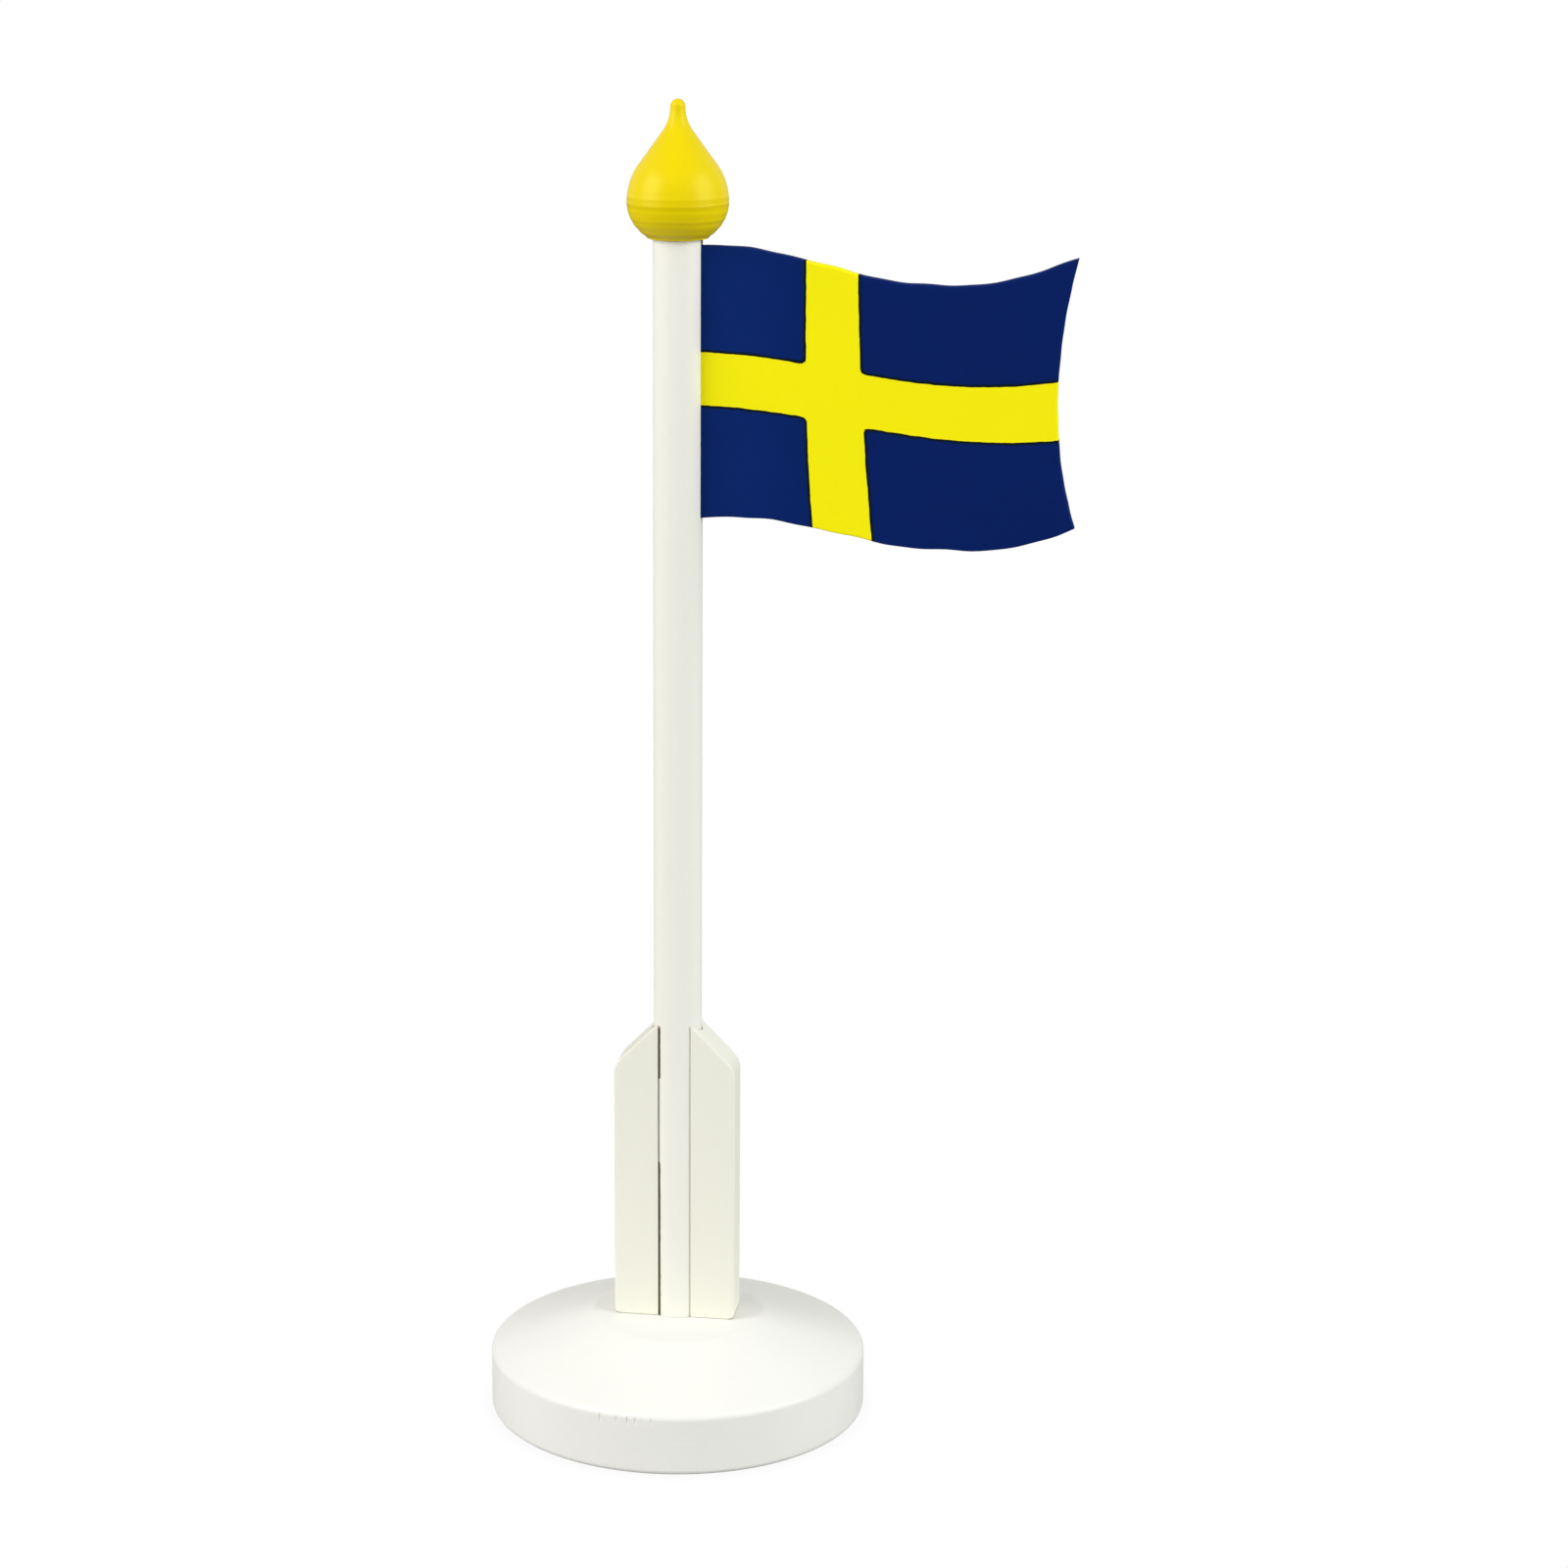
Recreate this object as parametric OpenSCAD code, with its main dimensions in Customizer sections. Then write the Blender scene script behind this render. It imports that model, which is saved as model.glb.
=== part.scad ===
// Table flag on a wooden stand: a turned base, a dowel pole held at its foot by two cheeks,
// a wavy flag plate let into the pole and a turned drop finial on top.
// Millimetres, +Z up. The pole's axis is the Z axis and the stand rests on Z = 0.
// The flag lies in the XZ plane and flies towards +X. The front faces -Y.

/* [Base] */
// Diameter of the turned base
base_d = 95; // [80:1:130]
// Height of the base's upright side wall, up to the sharp corner before it is rounded
base_wall_h = 15.5; // [12:0.5:20]
// Height of the flat boss that the cheeks and the pole stand on
base_h = 24.5; // [22:0.5:32]
// Diameter of the flat boss
boss_d = 43.5; // [38:0.5:60]
// Rounding of the upper rim
rim_r = 1.8; // [0.5:0.1:3]
// Rounding of the lower edge
foot_r = 1.4; // [0.5:0.1:3]

/* [Pole] */
// Diameter of the dowel that makes the pole
pole_d = 12; // [11.5:0.1:13]
// Length of the pole, from its foot in the socket to its top under the finial
pole_len = 287; // [275:1:320]
// Depth of the pole's socket in the base
socket_depth = 15; // [12:0.5:16]
// Radial clearance of the pole in its socket
socket_fit = 0.05; // [0.02:0.01:0.1]
// Chamfer round the foot of the pole
foot_chamfer = 0.8; // [0.3:0.1:1.5]

/* [Cheeks] */
// Distance from the pole's axis to a cheek's outer face
cheek_reach = 15.2; // [14.5:0.1:18]
// Distance from the pole's axis to a cheek's inner face, before the groove is cut
cheek_inner = 4; // [3.5:0.1:4.5]
// Thickness of a cheek, front to back
cheek_t = 10; // [9:0.5:12]
// Height of a cheek at its inner face
cheek_h = 77.5; // [60:0.5:100]
// Slope of a cheek's top, down from the pole
cheek_slope = 45; // [35:1:55]
// Rounding of the outer corner below the sloping top
cheek_shoulder_r = 6; // [3:0.5:8]
// Rounding of the outer corner at a cheek's foot
cheek_foot_r = 1.4; // [0.5:0.1:3]
// Radial clearance of the pole in a cheek's groove
groove_fit = 0.05; // [0.02:0.01:0.1]
// How much further out the left cheek stands than the right one
left_stand_off = 0.25; // [0:0.05:0.4]

/* [Finial] */
// Greatest diameter of the drop
finial_d = 24.4; // [22:0.1:28]
// Height of the drop
finial_h = 32.7; // [32:0.1:34]
// Height of the widest place
belly_z = 8.5; // [8:0.1:9.2]
// Half height of the ellipse that the lower belly follows
belly_low = 10.4; // [10.2:0.1:12]
// Half height of the ellipse that the upper belly follows
belly_high = 13.8; // [12:0.1:15]
// Angle between the shoulder's straight flank and the axis
flank_angle = 36; // [35:0.5:39]
// Radius of the rounded tip, and of the neck under it
nib_r = 1.8; // [1.6:0.1:2.4]

/* [Flag] */
// Thickness of the flag plate
flag_t = 3; // [2:0.5:4]
// Height of the flag's lower hoist corner above the table
flag_low = 229.4; // [180:0.2:231]
// Height of the flag along the pole
hoist_h = 65.5; // [60:0.5:66]
// Wavelength of the flag's wave
wave_len = 150; // [140:1:200]
// Half height of the wave along the top edge
top_swing = 10; // [4:0.5:12]
// Half height of the wave along the bottom edge
bottom_swing = 9; // [4:0.5:12]
// Distance from the pole's axis to the top wave's crest
top_crest = -1; // [-6:0.5:6]
// Distance from the pole's axis to the bottom wave's crest
bottom_crest = 3; // [-6:0.5:6]
// How far the waves' middle lines climb from the hoist to the fly
fly_rise = 15.5; // [0:0.5:18]
// Distance from the pole's axis to the hollow of the fly edge
fly_reach = 91; // [70:1:110]
// How far the fly edge's corners stand out beyond its hollow
fly_hollow = 4.6; // [0:0.1:8]
// Depth of the slot in the pole that holds the flag's edge
slot_depth = 3.2; // [2:0.1:3.3]
// Clearance each side of the flag in its slot
slot_fit = 0.05; // [0.02:0.01:0.1]

/* [Fixings] */
// Diameter of the dowel that joins the finial to the pole
pin_d = 5; // [4:0.5:5]
// Length of that dowel
pin_len = 22; // [16:1:26]
// Diameter of the screw that holds each cheek
screw_d = 3; // [2.5:0.5:3.5]
// Length of that screw, over its countersunk head
screw_len = 30; // [25:1:35]
// Diameter of the screw's head
screw_head_d = 6; // [5.5:0.5:6]
// Distance from the pole's axis to each screw
screw_reach = 10.6; // [10.5:0.1:11]
// Depth of the counterbore under each screw
counterbore = 6; // [4:0.5:7]
// Clearance all round a dowel or a screw in its hole
hole_fit = 0.05; // [0.02:0.01:0.1]

/* [Hidden] */
$fn = 96;
ivory = [0.94, 0.93, 0.87];
sunny_yellow = [0.95, 0.84, 0.08];
flag_blue = [0.04, 0.13, 0.38];
socket_floor = base_h - socket_depth;   // height of the pole's foot
pole_top = socket_floor + pole_len;     // height of the joint under the finial
groove_r = pole_d / 2 + groove_fit;
slot_x = pole_d / 2 - slot_depth;       // distance from the axis to the slot's floor
screw_xs = [screw_reach, -screw_reach - left_stand_off];  // each screw stands under its own cheek
countersink_h = (screw_head_d - screw_d) / 2;
recess_w = 0.8;                         // width of the arms of the screw's cross recess
recess_d = 1.1;                         // depth of that recess
eps = 0.5;                              // overshoot of a cutting body past the face it opens

// Points along an arc, from angle a to angle b
function arc(centre, r, a, b, steps = 8) =
    [for (i = [0:steps]) centre + r * [cos(a + (b - a) * i / steps), sin(a + (b - a) * i / steps)]];

function unit(v) = v / norm(v);

// Points that replace a polygon's corner at q, between p and s, by an arc of radius r
function corner(p, q, s, r) =
    let (u = unit(p - q), v = unit(s - q), half = acos(u * v) / 2,
         centre = q + unit(u + v) * r / sin(half),
         from = q + u * r / tan(half) - centre, to = q + v * r / tan(half) - centre,
         a = atan2(from[1], from[0]), turn = atan2(to[1], to[0]) - a,
         sweep = turn > 180 ? turn - 360 : turn < -180 ? turn + 360 : turn)
    arc(centre, r, a, a + sweep);

// An outline given as [x, y, corner radius] points, with its corners rounded
function rounded(points) =
    let (n = len(points), xy = [for (p = points) [p[0], p[1]]])
    [for (i = [0:n - 1]) each points[i][2] == 0 ? [xy[i]]
        : corner(xy[(i + n - 1) % n], xy[i], xy[(i + 1) % n], points[i][2])];

// ---- Base ----

// One screw's way through the base: counterbore, countersink and clearance hole
module screw_way() {
    translate([0, 0, -eps]) cylinder(h = counterbore + eps, d = screw_head_d + 1);
    translate([0, 0, counterbore]) cylinder(h = countersink_h, d1 = screw_head_d, d2 = screw_d);
    translate([0, 0, counterbore]) cylinder(h = base_h, d = screw_d + 0.2);
}

module base() {
    profile = rounded([[0, 0, 0], [base_d / 2, 0, foot_r], [base_d / 2, base_wall_h, rim_r],
                       [boss_d / 2, base_h, 6], [0, base_h, 0]]);
    color(ivory) difference() {
        rotate_extrude() polygon(profile);
        translate([0, 0, socket_floor]) cylinder(h = socket_depth + eps, r = pole_d / 2 + socket_fit);
        for (x = screw_xs) translate([x, 0, 0]) screw_way();
    }
}

// ---- Cheeks ----

// The right cheek: a board with a sloping top, a groove for the pole and a hole for its screw
module cheek() {
    shoulder_h = cheek_h - (cheek_reach - cheek_inner) * tan(cheek_slope);
    outline = rounded([[cheek_inner, 0, 0], [cheek_reach, 0, cheek_foot_r],
                       [cheek_reach, shoulder_h, cheek_shoulder_r], [cheek_inner, cheek_h, 0]]);
    translate([0, 0, base_h]) difference() {
        translate([0, cheek_t / 2, 0]) rotate([90, 0, 0]) linear_extrude(cheek_t) polygon(outline);
        translate([0, 0, -eps]) cylinder(h = cheek_h + 2 * eps, r = groove_r);
        translate([screw_reach, 0, -eps])
            cylinder(h = screw_len + counterbore - base_h + 1 + eps, d = screw_d + 2 * hole_fit);
    }
}

module cheek_right() { color(ivory) cheek(); }

module cheek_left() { color(ivory) translate([-left_stand_off, 0, 0]) mirror([1, 0, 0]) cheek(); }

// ---- Screws ----

// A countersunk wood screw with a cross recess, its head down at Z = 0
module screw() {
    tip_h = screw_d;
    difference() {
        union() {
            cylinder(h = countersink_h, d1 = screw_head_d, d2 = screw_d);
            cylinder(h = screw_len - tip_h, d = screw_d);
            translate([0, 0, screw_len - tip_h]) cylinder(h = tip_h, d1 = screw_d, d2 = 0.4);
        }
        for (turn = [0, 90]) rotate([0, 0, turn + 45])
            translate([-screw_d / 2, -recess_w / 2, -eps]) cube([screw_d, recess_w, recess_d + eps]);
    }
}

module cheek_screws() {
    color("silver") for (x = screw_xs) translate([x, 0, counterbore]) screw();
}

// ---- Pole ----

module pole() {
    color(ivory) translate([0, 0, socket_floor]) difference() {
        union() {
            cylinder(h = foot_chamfer, d1 = pole_d - 2 * foot_chamfer, d2 = pole_d);
            translate([0, 0, foot_chamfer]) cylinder(h = pole_len - foot_chamfer, d = pole_d);
        }
        translate([slot_x, -flag_t / 2 - slot_fit, flag_low - socket_floor])
            cube([slot_depth + eps, flag_t + 2 * slot_fit, pole_len]);
        translate([0, 0, pole_len - pin_len / 2]) cylinder(h = pin_len, d = pin_d + 2 * hole_fit);
    }
}

// ---- Flag ----

// Height of a wavy edge above its own hoist end, at distance x from the pole's axis
function wave(x, swing, crest) =
    let (start = pole_d / 2, turn = 360 / wave_len)
    fly_rise * (x - start) / fly_reach + swing * (cos(turn * (x - crest)) - cos(turn * (start - crest)));

// Distance from the axis to the fly edge at height z
function fly_x(z) =
    let (middle = flag_low + hoist_h / 2)
    fly_reach + fly_hollow * pow((z - middle) / (hoist_h / 2), 2);

module flag_plate() {
    start = pole_d / 2;
    flag_top = flag_low + hoist_h;
    low_fly = flag_low + wave(fly_reach + fly_hollow, bottom_swing, bottom_crest);
    top_fly = flag_top + wave(fly_reach + fly_hollow, top_swing, top_crest);
    steps = 24;
    bottom_edge = [for (i = [0:steps]) let (x = start + (fly_x(low_fly) - start) * i / steps)
        [x, flag_low + wave(x, bottom_swing, bottom_crest)]];
    fly_edge = [for (i = [1:steps - 1]) let (z = low_fly + (top_fly - low_fly) * i / steps)
        [fly_x(z), z]];
    top_edge = [for (i = [steps:-1:0]) let (x = start + (fly_x(top_fly) - start) * i / steps)
        [x, flag_top + wave(x, top_swing, top_crest)]];
    color(flag_blue) translate([0, flag_t / 2, 0]) rotate([90, 0, 0]) linear_extrude(flag_t)
        polygon(concat([[slot_x, flag_low]], bottom_edge, fly_edge, top_edge, [[slot_x, flag_top]]));
}

// ---- Finial ----

// Half outline of the drop: belly, straight flank, hollow neck and rounded tip.
// The flank leaves the upper belly where the ellipse has its slope, and the neck's arc
// touches both the flank and the tip's narrowest place.
function drop_outline() =
    let (a = finial_d / 2, slope = tan(flank_angle),
         rise = belly_high * slope / sqrt(pow(a / belly_high, 2) + pow(slope, 2)),
         shoulder = [a * sqrt(1 - pow(rise / belly_high, 2)), belly_z + rise],
         nib_z = finial_h - nib_r,
         neck_r = ((nib_r - shoulder[0]) * cos(flank_angle) + (nib_z - shoulder[1]) * sin(flank_angle))
                  / (1 - cos(flank_angle)),
         neck_centre = [nib_r + neck_r, nib_z], steps = 10)
    concat(
        [for (i = [0:steps]) let (z = belly_z * i / steps)
            [a * sqrt(1 - pow((belly_z - z) / belly_low, 2)), z]],
        [for (i = [1:steps]) let (z = rise * i / steps)
            [a * sqrt(1 - pow(z / belly_high, 2)), belly_z + z]],
        arc(neck_centre, neck_r, 180 + flank_angle, 180, steps),
        [for (i = [1:steps]) [nib_r * cos(90 * i / steps), nib_z + nib_r * sin(90 * i / steps)]]);

module finial() {
    color(sunny_yellow) translate([0, 0, pole_top]) difference() {
        rotate_extrude() polygon(concat([[0, 0]], drop_outline()));
        translate([0, 0, -eps]) cylinder(h = pin_len / 2 + 1 + eps, d = pin_d + 2 * hole_fit);
    }
}

module finial_pin() {
    color("burlywood") translate([0, 0, pole_top - pin_len / 2]) cylinder(h = pin_len, d = pin_d);
}

base();
cheek_left();
cheek_right();
cheek_screws();
pole();
flag_plate();
finial();
finial_pin();
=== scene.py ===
# %% [markdown]
# # A painted wooden table flag
#
# This lesson finishes a small table flag: a turned and painted base, a dowel pole that stands
# in it between two cheeks, a sawn and painted flag plate, and a turned drop on top. The packed
# CAD model is the frame. It says where every piece is, so nothing is moved or resized here:
# each piece but the screws is made again with soft edges, tool marks and paint, in the place of
# its CAD node.

# %% Load the imported model
import math

import bpy
import numpy as np
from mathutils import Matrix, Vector


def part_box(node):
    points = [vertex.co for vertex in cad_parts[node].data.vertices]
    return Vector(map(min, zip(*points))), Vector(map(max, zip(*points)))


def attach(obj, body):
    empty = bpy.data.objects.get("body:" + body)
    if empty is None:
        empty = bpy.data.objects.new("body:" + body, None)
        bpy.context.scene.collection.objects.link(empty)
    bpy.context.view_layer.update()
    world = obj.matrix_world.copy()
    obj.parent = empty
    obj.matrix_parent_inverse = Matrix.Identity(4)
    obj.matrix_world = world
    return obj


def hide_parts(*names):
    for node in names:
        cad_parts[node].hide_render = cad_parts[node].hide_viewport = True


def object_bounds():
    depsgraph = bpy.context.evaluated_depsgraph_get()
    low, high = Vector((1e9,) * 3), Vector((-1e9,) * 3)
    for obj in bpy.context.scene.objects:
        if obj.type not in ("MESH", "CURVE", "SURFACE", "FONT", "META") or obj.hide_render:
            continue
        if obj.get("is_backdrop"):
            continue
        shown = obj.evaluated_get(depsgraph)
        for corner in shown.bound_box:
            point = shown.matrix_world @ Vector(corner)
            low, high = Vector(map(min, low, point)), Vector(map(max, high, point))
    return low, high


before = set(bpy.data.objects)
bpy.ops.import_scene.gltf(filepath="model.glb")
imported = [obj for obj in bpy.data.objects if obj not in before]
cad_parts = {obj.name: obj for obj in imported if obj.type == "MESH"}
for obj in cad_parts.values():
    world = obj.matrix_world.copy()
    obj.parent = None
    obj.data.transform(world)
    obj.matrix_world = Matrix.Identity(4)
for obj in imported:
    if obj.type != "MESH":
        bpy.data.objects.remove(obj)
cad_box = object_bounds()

# %% [markdown]
# ## Working in millimetres
#
# Blender's unit is the metre, but a wood turner thinks in millimetres, so every shape below is
# worked out in millimetres and scaled once, when its mesh is made. Sizes that a box can give
# are read from the CAD nodes.

# %% Sizes from the frame
MM = 0.001


def box_mm(node):
    """Lowest and highest corner of a CAD node, in millimetres."""
    return [[c / MM for c in corner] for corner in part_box(node)]


SKIN = 0.01  # how far each outer face stays inside its CAD node
base_r = box_mm("base")[1][0] - SKIN
base_h = box_mm("base")[1][2]
pole_foot, pole_top = box_mm("pole")[0][2], box_mm("pole")[1][2]
pole_r = round(box_mm("pole")[1][0], 1)
cheek_reach = box_mm("cheek_right")[1][0]
cheek_top = box_mm("cheek_right")[1][2]
left_stand_off = -box_mm("cheek_left")[0][0] - cheek_reach
finial_r = box_mm("finial")[1][0] - SKIN
finial_h = box_mm("finial")[1][2] - pole_top
flag_t = box_mm("flag_plate")[1][1] * 2
print(f"base {2 * base_r:.1f} x {base_h:.1f}, pole {2 * pole_r:.0f} x {pole_top - pole_foot:.0f} mm")

# %% [markdown]
# ## The camera
#
# The camera stands a little above the object and a little to its right, so the tops of the base
# and of the cheeks show, and so does the cheeks' right side. A long lens keeps the pole's sides
# nearly parallel. It aims at the pole, and the lens shift then slides the picture sideways,
# which leaves room for the flag without turning the camera.

# %% Camera
VIEW_TURN = math.radians(9.3)      # towards +X from straight in front
VIEW_RISE = math.radians(14.33)    # above the horizon
VIEW_DISTANCE = 0.9434
AIM = Vector((0, 0, 0.16265))


def direction(turn, rise):
    """The unit vector towards a place that stands turn round from the front and rise above it."""
    return Vector((math.sin(turn) * math.cos(rise), -math.cos(turn) * math.cos(rise), math.sin(rise)))


camera = bpy.data.objects.new("camera", bpy.data.cameras.new("camera"))
camera.data.lens = 88
camera.data.shift_x = 0.0677
camera.location = AIM + VIEW_DISTANCE * direction(VIEW_TURN, VIEW_RISE)
camera.rotation_euler = (math.pi / 2 - VIEW_RISE, 0, VIEW_TURN)
bpy.context.scene.collection.objects.link(camera)
bpy.context.scene.camera = camera
print("camera at", [round(c, 3) for c in camera.location])

# %% [markdown]
# ## Small helpers for shader nodes
#
# A material is a graph of nodes. These helpers keep each step of the graph on one line: add a
# node, feed a socket with a link or a value, do one sum, step softly from one value to another,
# mix two colours, and place noise of a given grain size.

# %% Node helpers
def srgb(red, green, blue):
    """A colour picked on a screen, 0 to 255, as the linear colour that shaders work in."""
    shares = [c / 255 for c in (red, green, blue)]
    return (*[s / 12.92 if s <= 0.04045 else ((s + 0.055) / 1.055) ** 2.4 for s in shares], 1.0)


def add_node(tree, kind, **settings):
    made = tree.nodes.new("ShaderNode" + kind)
    for name, value in settings.items():
        setattr(made, name, value)
    return made


def feed(tree, socket, value):
    """Links value to the socket if it is a socket itself, and otherwise sets it there."""
    if isinstance(value, bpy.types.NodeSocket):
        tree.links.new(value, socket)
    else:
        socket.default_value = value


def calc(tree, operation, a, b=0.0, clamp=False):
    made = add_node(tree, "Math", operation=operation, use_clamp=clamp)
    feed(tree, made.inputs[0], a)
    feed(tree, made.inputs[1], b)
    return made.outputs[0]


def stretch(tree, point, scale):
    """The point with each of its coordinates multiplied by that of scale."""
    made = add_node(tree, "VectorMath", operation="MULTIPLY")
    feed(tree, made.inputs[0], point)
    feed(tree, made.inputs[1], scale)
    return made.outputs[0]


def ramp(tree, value, low, high, at_low=0.0, at_high=1.0):
    """A soft step: at_low where value is under low, at_high where it is over high."""
    made = add_node(tree, "MapRange", interpolation_type="SMOOTHSTEP")
    for name, given in zip(("Value", "From Min", "From Max", "To Min", "To Max"),
                           (value, low, high, at_low, at_high)):
        feed(tree, made.inputs[name], given)
    return made.outputs["Result"]


def mix(tree, share, a, b, blend="MIX"):
    """Colour a turning into colour b as share goes from 0 to 1."""
    made = add_node(tree, "Mix", data_type="RGBA", blend_type=blend)
    for index, given in ((0, share), (6, a), (7, b)):
        feed(tree, made.inputs[index], given)
    return made.outputs[2]


def noise(tree, point, size, detail=2.0):
    """Noise from 0 to 1. size is its grain in millimetres, one number or one for each axis."""
    sizes = size if isinstance(size, tuple) else (size,) * 3
    made = add_node(tree, "TexNoise")
    feed(tree, made.inputs["Vector"], stretch(tree, point, tuple(1 / s for s in sizes)))
    made.inputs["Scale"].default_value = 1.0
    made.inputs["Detail"].default_value = detail
    return made.outputs["Fac"]


# %% Helpers for node groups
def new_group(name, inputs, outputs):
    """An empty node group. inputs are (name, kind, value), outputs are (name, kind)."""
    tree = bpy.data.node_groups.new(name, "ShaderNodeTree")
    for label, kind, value in inputs:
        made = tree.interface.new_socket(label, in_out="INPUT", socket_type="NodeSocket" + kind)
        made.default_value = value
    for label, kind in outputs:
        tree.interface.new_socket(label, in_out="OUTPUT", socket_type="NodeSocket" + kind)
    start, end = tree.nodes.new("NodeGroupInput"), tree.nodes.new("NodeGroupOutput")
    print("node group", name, "gives", [label for label, _ in outputs])
    return tree, start.outputs, end.inputs


def place(tree, group, **values):
    """Puts a node group in a tree. A value's name is its input's, with _ for each space."""
    made = add_node(tree, "Group", node_tree=group)
    for name, value in values.items():
        feed(tree, made.inputs[name.replace("_", " ")], value)
    return made.outputs


# %% [markdown]
# ## Light
#
# Two large softboxes stand left and right of the object, both above it. The studio around them
# is dimmer, but brighter on the camera's side and at the backdrop, which fills the shadows. The
# right softbox is a little cooler. Only the camera sees the surroundings as plain white.

# %% Softboxes
def softbox(name, turn, rise, watts, colour=(1, 1, 1), side=0.8, distance=1.15):
    """A square light, turn degrees round from the front and rise degrees up."""
    lamp = bpy.data.objects.new(name, bpy.data.lights.new(name, "AREA"))
    lamp.data.size = side
    lamp.data.energy = watts
    lamp.data.color = colour
    towards = direction(math.radians(turn), math.radians(rise))
    lamp.location = AIM + distance * towards
    lamp.rotation_mode = "QUATERNION"
    lamp.rotation_quaternion = towards.to_track_quat("Z", "Y")
    bpy.context.scene.collection.objects.link(lamp)
    print("softbox", name, watts, "W")


softbox("left_softbox", turn=-58, rise=26, watts=10.4)
softbox("right_softbox", turn=74, rise=26, watts=9.7, colour=(0.94, 0.975, 1.0))

# %% The white studio
WALLS, FRONT, BACK = 0.35, 0.65, 0.62  # brightness of the side walls, the camera's side, the backdrop
world = bpy.data.worlds.new("studio")
world.use_nodes = True
bpy.context.scene.world = world
tree = world.node_tree
facing = add_node(tree, "VectorMath", operation="DOT_PRODUCT")
feed(tree, facing.inputs[0], add_node(tree, "TexCoord").outputs["Generated"])
facing.inputs[1].default_value = direction(VIEW_TURN, 0)
front_half = ramp(tree, facing.outputs["Value"], 0.0, 0.8, WALLS, FRONT)
walls = ramp(tree, facing.outputs["Value"], -0.8, 0.0, BACK, front_half)
seen = add_node(tree, "LightPath").outputs["Is Camera Ray"]
brightness = ramp(tree, seen, 0.0, 1.0, walls, 1.0)
feed(tree, tree.nodes["Background"].inputs["Color"], (1, 1, 1, 1))
feed(tree, tree.nodes["Background"].inputs["Strength"], brightness)
bpy.context.scene.view_settings.view_transform = "Standard"

# %% [markdown]
# ## The floor
#
# A pale sheet, which throws the softboxes' light back up at the object, on a grey floor, which
# throws back less. So the pieces near the sheet are lit from below more than the drop up at the
# top is. The camera sees all of it as clean white ground, apart from a faint shadow where
# something stands: an ambient occlusion node measures how much sky a spot of floor has lost.

# %% Floor
FLOOR_SIDE = 8.0
SHEET, GREY_FLOOR, SHEET_REACH = 0.46, 0.15, (0.2, 0.5)  # how pale they are, where one ends
SHADOW_REACH, SHADOW = 0.006, 0.95  # how far the shadow goes, in metres, and its brightness
floor_mesh = bpy.data.meshes.new("floor")
h = FLOOR_SIDE / 2
floor_mesh.from_pydata([(-h, -h, 0), (h, -h, 0), (h, h, 0), (-h, h, 0)], [], [(0, 1, 2, 3)])
floor = bpy.data.objects.new("floor", floor_mesh)
bpy.context.scene.collection.objects.link(floor)
floor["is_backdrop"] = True

pale = bpy.data.materials.new("pale_floor")
pale.use_nodes = True
tree = pale.node_tree
shader = tree.nodes["Principled BSDF"]
shader.inputs["Roughness"].default_value = 0.9
shader.inputs["Specular IOR Level"].default_value = 0.0
shader.inputs["Emission Color"].default_value = (1, 1, 1, 1)
seen = add_node(tree, "LightPath").outputs["Is Camera Ray"]
away = add_node(tree, "VectorMath", operation="LENGTH")
feed(tree, away.inputs[0], add_node(tree, "TexCoord").outputs["Object"])
paleness = ramp(tree, away.outputs["Value"], *SHEET_REACH, SHEET, GREY_FLOOR)
feed(tree, shader.inputs["Base Color"], mix(tree, seen, paleness, (0, 0, 0, 1)))
sky = add_node(tree, "AmbientOcclusion", samples=16)
sky.inputs["Distance"].default_value = SHADOW_REACH
glow = ramp(tree, sky.outputs["AO"], 0.3, 0.95, SHADOW, 1.0)
feed(tree, shader.inputs["Emission Strength"], calc(tree, "MULTIPLY", seen, glow))
floor_mesh.materials.append(pale)

# %% [markdown]
# ## Effects that several finishes share
#
# Each effect is a node group that takes a point in millimetres and puts out colours, masks or
# heights, so one group serves every material at its own strength. The first is the paint film
# itself: sprayed or brushed enamel is never one flat colour. It drifts a little over a few
# centimetres, it dries into a fine skin like orange peel, and some dust settles in it.

# %% Node group: paint film
paint_film, given, out = new_group(
    "paint film",
    [("Point", "Vector", (0, 0, 0)), ("Colour", "Color", (1, 1, 1, 1)), ("Drift", "Float", 0.04),
     ("Peel", "Float", 0.004), ("Peel Size", "Float", 1.2), ("Gloss", "Float", 0.4)],
    [("Colour", "Color"), ("Roughness", "Float"), ("Height", "Float")])
tree = paint_film
drift = calc(tree, "SUBTRACT", noise(tree, given["Point"], (22, 22, 34), 3.0), 0.5)
drift = calc(tree, "MULTIPLY", drift, given["Drift"])
fine = calc(tree, "SUBTRACT", noise(tree, given["Point"], 2.5, 3.0), 0.5)
half_drift = calc(tree, "MULTIPLY", given["Drift"], 0.5)
shade = calc(tree, "ADD", calc(tree, "MULTIPLY", fine, half_drift), drift)
warm = noise(tree, given["Point"], (31, 31, 60), 1.0)
tinted = mix(tree, calc(tree, "MULTIPLY", warm, calc(tree, "MULTIPLY", given["Drift"], 2.0)),
             given["Colour"], (1.0, 0.93, 0.78, 1.0), "MULTIPLY")
lifted = add_node(tree, "VectorMath", operation="SCALE")
feed(tree, lifted.inputs[0], tinted)
feed(tree, lifted.inputs["Scale"], calc(tree, "ADD", shade, 1.0))
feed(tree, out["Colour"], lifted.outputs[0])
dull = calc(tree, "MULTIPLY", calc(tree, "SUBTRACT", noise(tree, given["Point"], 6.0, 4.0), 0.5), 0.16)
feed(tree, out["Roughness"], calc(tree, "ADD", given["Gloss"], dull, clamp=True))
point = add_node(tree, "VectorMath", operation="SCALE")
feed(tree, point.inputs[0], given["Point"])
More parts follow.
